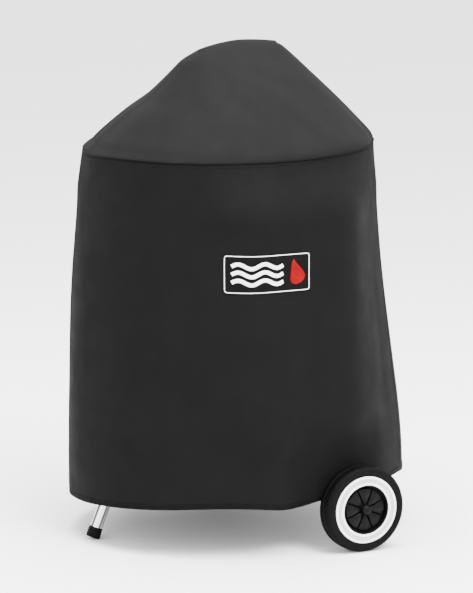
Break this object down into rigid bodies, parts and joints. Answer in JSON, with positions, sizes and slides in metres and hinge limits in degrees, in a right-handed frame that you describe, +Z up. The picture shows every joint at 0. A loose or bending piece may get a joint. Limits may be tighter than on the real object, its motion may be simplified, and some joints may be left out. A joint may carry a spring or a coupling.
{
  "type": "kettle charcoal grill",
  "caption": "Kettle charcoal grill on two wheels and a foot, under a fitted fabric cover; lid, grates, flaps, sweeper, damper, ash can and cover all move.",
  "frame": {"origin": "on the floor under the middle of the kettle", "axes": "+Z up, axle along Y on the +X side, foot on the -X side, badge and lever towards -Y"},
  "size_m": [0.7042, 0.706, 1.004],
  "materials": {
    "enamel_black": "gloss porcelain enamel",
    "aluminium_tube": "polished",
    "aluminium_sheet": "satin",
    "plated_wire": "plated",
    "zinc_steel": "zinc plated",
    "grate_steel": "bare, dulled by heat",
    "painted_steel": "satin",
    "black_nylon": "fine texture",
    "wheel_plastic": "satin",
    "wheel_tread": "ribbed",
    "white_band": "satin",
    "cap_rubber": "matte",
    "cover_cloth": "coated polyester weave",
    "cover_cloth_top": "coated polyester weave",
    "cover_tape": "woven binding tape",
    "badge_cloth": "woven patch with pale border and red mark"
  },
  "bodies": {
    "stand": {"bowl": "enamel_black", "leg_sockets": "painted_steel", "leg_foot": "aluminium_tube", "leg_wheel_front": "aluminium_tube", "leg_wheel_rear": "aluminium_tube", "leg_cap": "cap_rubber", "axle": "zinc_steel", "axle_retainers": "zinc_steel", "wire_rack": "plated_wire", "charcoal_supports": "enamel_black", "cooking_supports": "enamel_black", "ash_can_clips": "aluminium_sheet", "handle_front_straps": "painted_steel", "handle_front_grip": "black_nylon", "handle_rear_straps": "painted_steel", "handle_rear_grip": "black_nylon", "handle_bolts": "zinc_steel"},
    "front_wheel": {"wheel_front_tyre": "wheel_tread", "wheel_front_band": "white_band", "wheel_front_hub": "wheel_plastic", "wheel_front_cap": "wheel_plastic"},
    "rear_wheel": {"wheel_rear_tyre": "wheel_tread", "wheel_rear_band": "white_band", "wheel_rear_hub": "wheel_plastic", "wheel_rear_cap": "wheel_plastic"},
    "lid": {"lid_shell": "enamel_black", "lid_handle_strap": "painted_steel", "lid_handle_grip": "black_nylon", "lid_heat_shield": "aluminium_sheet", "lid_handle_bolts": "zinc_steel", "lid_hook": "painted_steel", "damper_rivet": "zinc_steel"},
    "damper": {"damper_disc": "aluminium_sheet"},
    "charcoal_tray": {"charcoal_grate": "grate_steel"},
    "grate": {"grate_frame": "plated_wire"},
    "flap_right": {"grate_flap_right": "plated_wire"},
    "flap_left": {"grate_flap_left": "plated_wire"},
    "sweeper": {"sweeper_shaft": "zinc_steel", "sweeper_blades": "aluminium_sheet", "sweeper_lever": "aluminium_sheet", "sweeper_grip": "black_nylon", "sweeper_clip": "zinc_steel"},
    "can": {"ash_can": "aluminium_sheet", "can_handle_wire": "plated_wire", "can_handle_grip": "black_nylon"},
    "cover": {"cover_top": "cover_cloth_top", "cover_side_front": "cover_cloth", "cover_side_back": "cover_cloth", "cover_hem": "cover_tape", "cover_piping": "cover_tape", "cover_badge": "badge_cloth"}
  },
  "joints": [
    {"name": "front_wheel_spin", "type": "hinge", "parent": "stand", "child": "front_wheel", "pos_m": [0.13007, -0.324, 0.088], "axis": [0, 1, 0], "continuous": true},
    {"name": "rear_wheel_spin", "type": "hinge", "parent": "stand", "child": "rear_wheel", "pos_m": [0.13007, 0.324, 0.088], "axis": [0, 1, 0], "continuous": true},
    {"name": "lid_lift", "type": "slide", "parent": "stand", "child": "lid", "axis": [0, 0, 1], "range_m": [0, 0.35]},
    {"name": "cover_lift", "type": "slide", "parent": "lid", "child": "cover", "axis": [0, 0, 1], "range_m": [0, 0.92]},
    {"name": "damper_turn", "type": "hinge", "parent": "lid", "child": "damper", "pos_m": [-0.15023, 0, 0.89281], "axis": [-0.4443, 0, 0.8959], "range_deg": [0, 45]},
    {"name": "grate_lift", "type": "slide", "parent": "stand", "child": "grate", "axis": [0, 0, 1], "range_m": [0, 0.03]},
    {"name": "flap_right_hinge", "type": "hinge", "parent": "grate", "child": "flap_right", "pos_m": [0.15, 0, 0.685], "axis": [0, -1, 0], "range_deg": [0, 90]},
    {"name": "flap_left_hinge", "type": "hinge", "parent": "grate", "child": "flap_left", "pos_m": [-0.15, 0, 0.685], "axis": [0, 1, 0], "range_deg": [0, 90]},
    {"name": "charcoal_lift", "type": "slide", "parent": "stand", "child": "charcoal_tray", "axis": [0, 0, 1], "range_m": [0, 0.09]},
    {"name": "sweeper_turn", "type": "hinge", "parent": "stand", "child": "sweeper", "pos_m": [0, 0, 0.46], "axis": [0, 0, 1], "range_deg": [0, 50]},
    {"name": "can_drop", "type": "slide", "parent": "stand", "child": "can", "axis": [0, 0, -1], "range_m": [0, 0.08]}
  ]
}
